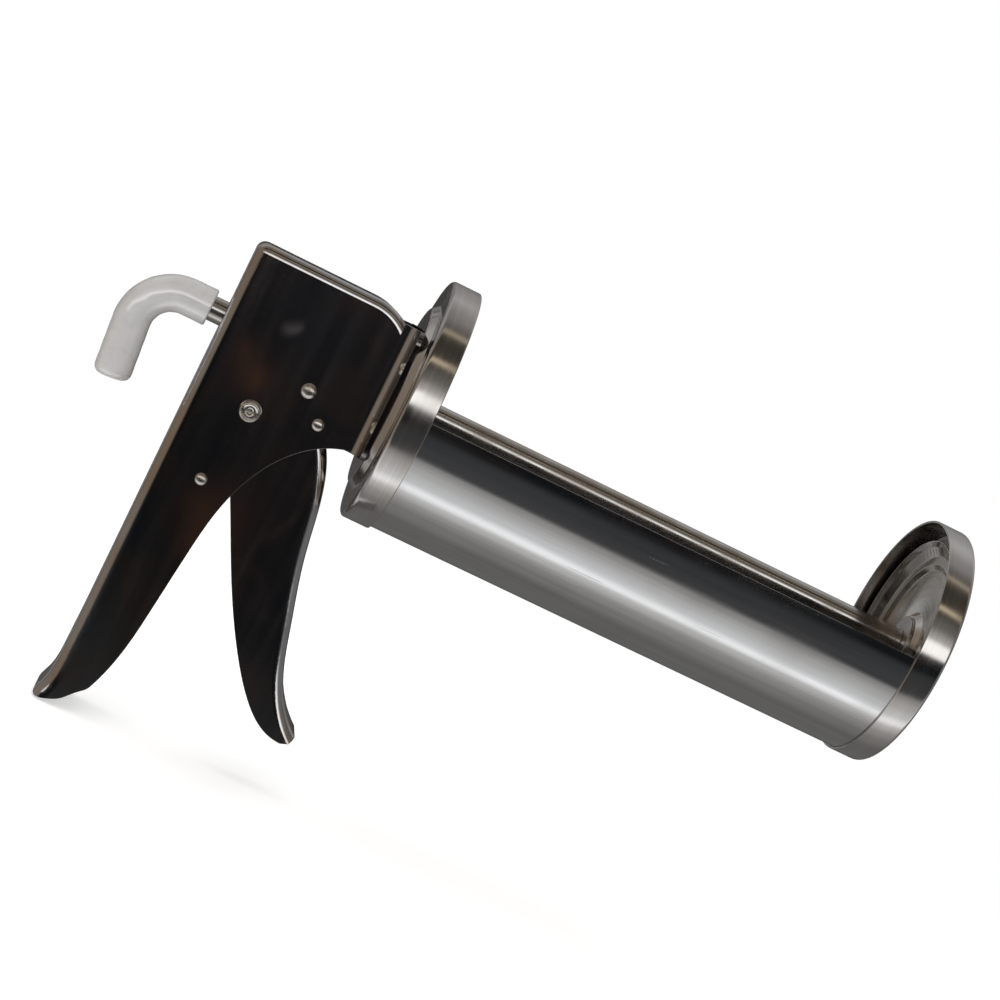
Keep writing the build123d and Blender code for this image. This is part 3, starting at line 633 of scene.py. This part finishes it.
milky_vinyl = bpy.data.materials.new("milky_vinyl")
milky_vinyl.use_nodes = True
vinyl_tree = milky_vinyl.node_tree
vinyl = vinyl_tree.nodes["Principled BSDF"]
vinyl_place = add(vinyl_tree, "TexCoord").outputs["Object"]
vinyl_marks = add(vinyl_tree, "Group", {"node_tree": wear}, Place=vinyl_place,
                  Streaks=(220.0, 220.0, 40.0), Patches=90.0)
vinyl_tone = add(vinyl_tree, "Mix", {"data_type": "RGBA"}, Factor=vinyl_marks.outputs["Patch"],
                 A=(0.53, 0.522, 0.517, 1.0), B=(0.48, 0.472, 0.467, 1.0))
vinyl_tree.links.new(vinyl_tone.outputs["Result"], vinyl.inputs["Base Color"])
vinyl_gloss = add(vinyl_tree, "MapRange", Value=vinyl_marks.outputs["Grain"],
                  From_Min=0.3, From_Max=0.7, To_Min=0.14, To_Max=0.24)
vinyl_tree.links.new(vinyl_gloss.outputs[0], vinyl.inputs["Roughness"])
vinyl_height = add(vinyl_tree, "Math", {"operation": "SUBTRACT"}, in0=vinyl_marks.outputs["Grain"],
                   in1=vinyl_marks.outputs["Scratch"])
vinyl_bump = add(vinyl_tree, "Bump", Strength=0.1, Distance=0.05 * MM,
                 Height=vinyl_height.outputs[0])
vinyl_tree.links.new(vinyl_bump.outputs[0], vinyl.inputs["Normal"])
for label, value in (
        ("Subsurface Weight", 0.35), ("Subsurface Radius", (1.0, 0.95, 0.9)),
        ("Subsurface Scale", 1.5 * MM), ("Specular IOR Level", 0.9),
        ("Coat Weight", 0.9), ("Coat Roughness", 0.1), ("Coat IOR", 1.9)):
    vinyl.inputs[label].default_value = value
sleeve.data.materials.append(milky_vinyl)
stands_for(sleeve, "hook_sleeve", "rod")


# ---- studio: floor, soft lights, surroundings and camera ----
# A pale floor just below the grip, in a room that is white to the eye. Round the metal the room
# is darker, with broad soft panels, which is what polished sheet steel shows.

floor_half = 3.0
floor_gap = 0.6 * MM
floor_height = cad_low[2] - floor_gap
floor_mesh = bpy.data.meshes.new("floor")
floor_corners = [
    (-floor_half, -floor_half, floor_height), (floor_half, -floor_half, floor_height),
    (floor_half, floor_half, floor_height), (-floor_half, floor_half, floor_height)]
floor_mesh.from_pydata(floor_corners, [], [(0, 1, 2, 3)])
floor = bpy.data.objects.new("floor", floor_mesh)
bpy.context.scene.collection.objects.link(floor)
floor.visible_glossy = False

# The floor fades to plain white away from the object, so that no horizon shows.
white = (1.0, 1.0, 1.0, 1.0)
fade_start, fade_end = 0.25, 0.7
floor_finish = bpy.data.materials.new("floor_pale")
floor_finish.use_nodes = True
floor_tree = floor_finish.node_tree
floor_shader = floor_tree.nodes["Principled BSDF"]
floor_shader.inputs["Base Color"].default_value = (0.86, 0.86, 0.86, 1.0)
floor_shader.inputs["Roughness"].default_value = 0.9
floor_shader.inputs["Emission Color"].default_value = white
floor_shader.inputs["Emission Strength"].default_value = 0.45
floor_place = add(floor_tree, "TexCoord").outputs["Object"]
floor_distance = add(floor_tree, "VectorMath", {"operation": "LENGTH"}, in0=floor_place)
floor_fade = add(floor_tree, "MapRange", SMOOTH, Value=floor_distance.outputs["Value"],
                 From_Min=fade_start, From_Max=fade_end)
floor_white = add(floor_tree, "Emission")
floor_blend = add(floor_tree, "MixShader", in0=floor_fade.outputs[0], in1=floor_shader.outputs[0],
                  in2=floor_white.outputs[0])
floor_tree.links.new(floor_blend.outputs[0], floor_tree.nodes["Material Output"].inputs["Surface"])
floor_mesh.materials.append(floor_finish)

# What the metal sees, by angle about the object's length: 0 is level towards the front,
# 90 straight up, 180 level behind, -90 straight down. Brightness, then colour.
room = [
    (-180, 0.05, (1.0, 0.95, 0.9)), (-168, 0.1, (1.0, 0.96, 0.92)), (-145, 0.15, (1.0, 0.99, 0.97)),
    (-115, 0.16, (1.0, 0.98, 0.96)), (-98, 0.24, (1.0, 0.98, 0.96)), (-86, 0.36, (1.0, 0.98, 0.96)),
    (-76, 0.62, (1.0, 0.99, 0.98)), (-69, 1.25, (0.98, 0.99, 1.0)), (-60, 0.75, (0.98, 0.99, 1.0)),
    (-48, 0.52, (1.0, 0.99, 0.98)), (-40, 0.36, (1.0, 0.98, 0.96)), (-35, 0.065, (0.95, 0.95, 1.0)),
    (-17, 0.052, (0.9, 0.95, 1.0)), (-9, 0.009, (0.7, 0.85, 1.0)), (3, 0.02, (0.9, 0.9, 1.0)),
    (6, 1.5, (1.0, 1.0, 1.0)), (15, 1.5, (1.0, 0.99, 0.98)), (20, 0.5, (1.0, 0.97, 0.94)),
    (32, 0.16, (1.0, 0.95, 0.9)), (44, 0.08, (1.0, 0.88, 0.75)), (48, 0.8, (1.0, 0.84, 0.62)),
    (52, 0.06, (1.0, 0.86, 0.7)), (67, 0.05, (1.0, 0.9, 0.8)), (74, 0.08, (1.0, 0.86, 0.68)),
    (79, 0.45, (1.0, 0.86, 0.66)), (84, 0.15, (1.0, 0.92, 0.86)), (100, 0.30, (1.0, 0.98, 0.97)),
    (124, 0.5, (1.0, 0.99, 0.99)), (145, 0.36, (1.0, 0.99, 0.99)), (166, 0.22, (1.0, 1.0, 1.0)),
    (180, 0.05, (1.0, 0.95, 0.9)),
]

brightest = 2.0

world = bpy.data.worlds.new("studio")
bpy.context.scene.world = world
world.use_nodes = True
tree = world.node_tree
tree.nodes.clear()
where = add(tree, "TexCoord").outputs["Generated"]
parts = add(tree, "SeparateXYZ", Vector=where)
towards_front = add(tree, "Math", {"operation": "MULTIPLY"}, in0=parts.outputs["Y"], in1=-1.0)
angle = add(tree, "Math", {"operation": "ARCTAN2"}, in0=parts.outputs["Z"],
            in1=towards_front.outputs[0])
share = add(tree, "MapRange", Value=angle.outputs[0], From_Min=-math.pi, From_Max=math.pi)
ramp = add(tree, "ValToRGB", Fac=share.outputs[0])
stops = ramp.color_ramp.elements
ramp.color_ramp.interpolation = "EASE"
stops.remove(stops[-1])
for number, (degrees, light, colour) in enumerate(room):
    place = (degrees + 180) / 360
    stop = stops.new(place) if number else stops[0]
    stop.position = place
    stop.color = (*(light / brightest * c for c in colour), 1.0)
scale_up = add(tree, "VectorMath", {"operation": "SCALE"}, in0=ramp.outputs["Color"],
               Scale=brightest)


def room_mask(socket, nothing, full):
    """0 where the direction's coordinate is at nothing, rising smoothly to 1 at full."""
    return add(tree, "MapRange", SMOOTH, Value=socket, From_Min=nothing, From_Max=full).outputs[0]


# In front, low down in the dark, there are faint warm patches, as of a hand, which the polished
# plates show.
warm_noise = add(tree, "TexNoise", Vector=where, Scale=38.0, Detail=2.0, Distortion=0.6)
warm_share = add(tree, "Math", {"operation": "MULTIPLY"},
                 in0=room_mask(warm_noise.outputs["Fac"], 0.57, 0.72),
                 in1=room_mask(parts.outputs["Y"], -0.93, -0.98))
warm_glow = add(tree, "VectorMath", {"operation": "SCALE"}, in0=(0.10, 0.038, 0.012),
                Scale=warm_share.outputs[0])
warmed = add(tree, "VectorMath", {"operation": "ADD"}, in0=scale_up.outputs[0],
             in1=warm_glow.outputs[0])

# Behind on the left there is a pale panel with soft stripes, which the piston shows.
panel_share = add(tree, "Math", {"operation": "MULTIPLY"},
                  in0=room_mask(parts.outputs["X"], -0.2, -0.27),
                  in1=room_mask(parts.outputs["Y"], 0.55, 0.85))
stripes = add(tree, "TexWave", {"bands_direction": "DIAGONAL"}, Vector=where, Scale=4.5,
              Distortion=0.5, Detail=0.0)
panel_light = add(tree, "MapRange", Value=stripes.outputs["Fac"], To_Min=0.03, To_Max=0.5)
panelled = add(tree, "Mix", {"data_type": "RGBA"}, Factor=panel_share.outputs[0],
               A=warmed.outputs[0], B=panel_light.outputs[0])

# To the left, past the spine, there is a brown-grey wall, and to the right a dimmer one.
left_wall = add(tree, "Mix", {"data_type": "RGBA"},
                Factor=room_mask(parts.outputs["X"], -0.7, -0.92),
                A=panelled.outputs["Result"], B=(0.26, 0.215, 0.175, 1.0))
right_wall = add(tree, "Mix", {"data_type": "RGBA"},
                 Factor=room_mask(parts.outputs["X"], 0.6, 0.95),
                 A=left_wall.outputs["Result"], B=(0.2, 0.2, 0.21, 1.0))

room_light = add(tree, "Background", Color=right_wall.outputs["Result"])
backdrop = add(tree, "Background", Color=white)
ray = add(tree, "LightPath")
choose = add(tree, "MixShader", in0=ray.outputs["Is Camera Ray"], in1=room_light.outputs[0],
             in2=backdrop.outputs[0])
add(tree, "OutputWorld", Surface=choose.outputs[0])

for name, place, aim, size, power in [
    ("overhead", (0.1, -0.1, 1.3), (0.06, 0.0, 0.0), 1.6, 16.0),
    ("front_fill", (-0.5, -1.4, 0.7), (0.06, 0.0, -0.03), 1.2, 7.0),
    ("back_fill", (0.5, 1.4, 0.8), (0.06, 0.0, -0.03), 1.2, 6.0),
]:
    lamp = bpy.data.lights.new(name, "AREA")
    lamp.shape = "SQUARE"
    lamp.size = size
    lamp.energy = power
    panel = bpy.data.objects.new(name, lamp)
    bpy.context.scene.collection.objects.link(panel)
    panel.location = place
    panel.rotation_euler = (Vector(aim) - Vector(place)).to_track_quat("-Z", "Y").to_euler()
    panel.visible_glossy = False
    panel.visible_camera = False

# The camera looks at the barrel's side from in front of the grip, a little from above, and is
# rolled, so that the barrel points down to the right.
camera_place = (-0.061527, -0.721845, 0.042965)
heading, pitch, roll = math.radians(-8.4952), math.radians(-4.5233), math.radians(26.4258)
camera_data = bpy.data.cameras.new("camera")
camera_data.lens = 83.328
camera_data.sensor_width = 36.0
camera_data.clip_start = 0.05
camera = bpy.data.objects.new("camera", camera_data)
bpy.context.scene.collection.objects.link(camera)
level = Euler((math.pi / 2 + pitch, 0, heading)).to_matrix().to_4x4()
camera.matrix_world = Matrix.Translation(camera_place) @ level @ Matrix.Rotation(roll, 4, "Z")
bpy.context.scene.camera = camera
bpy.context.scene.view_settings.view_transform = "Standard"
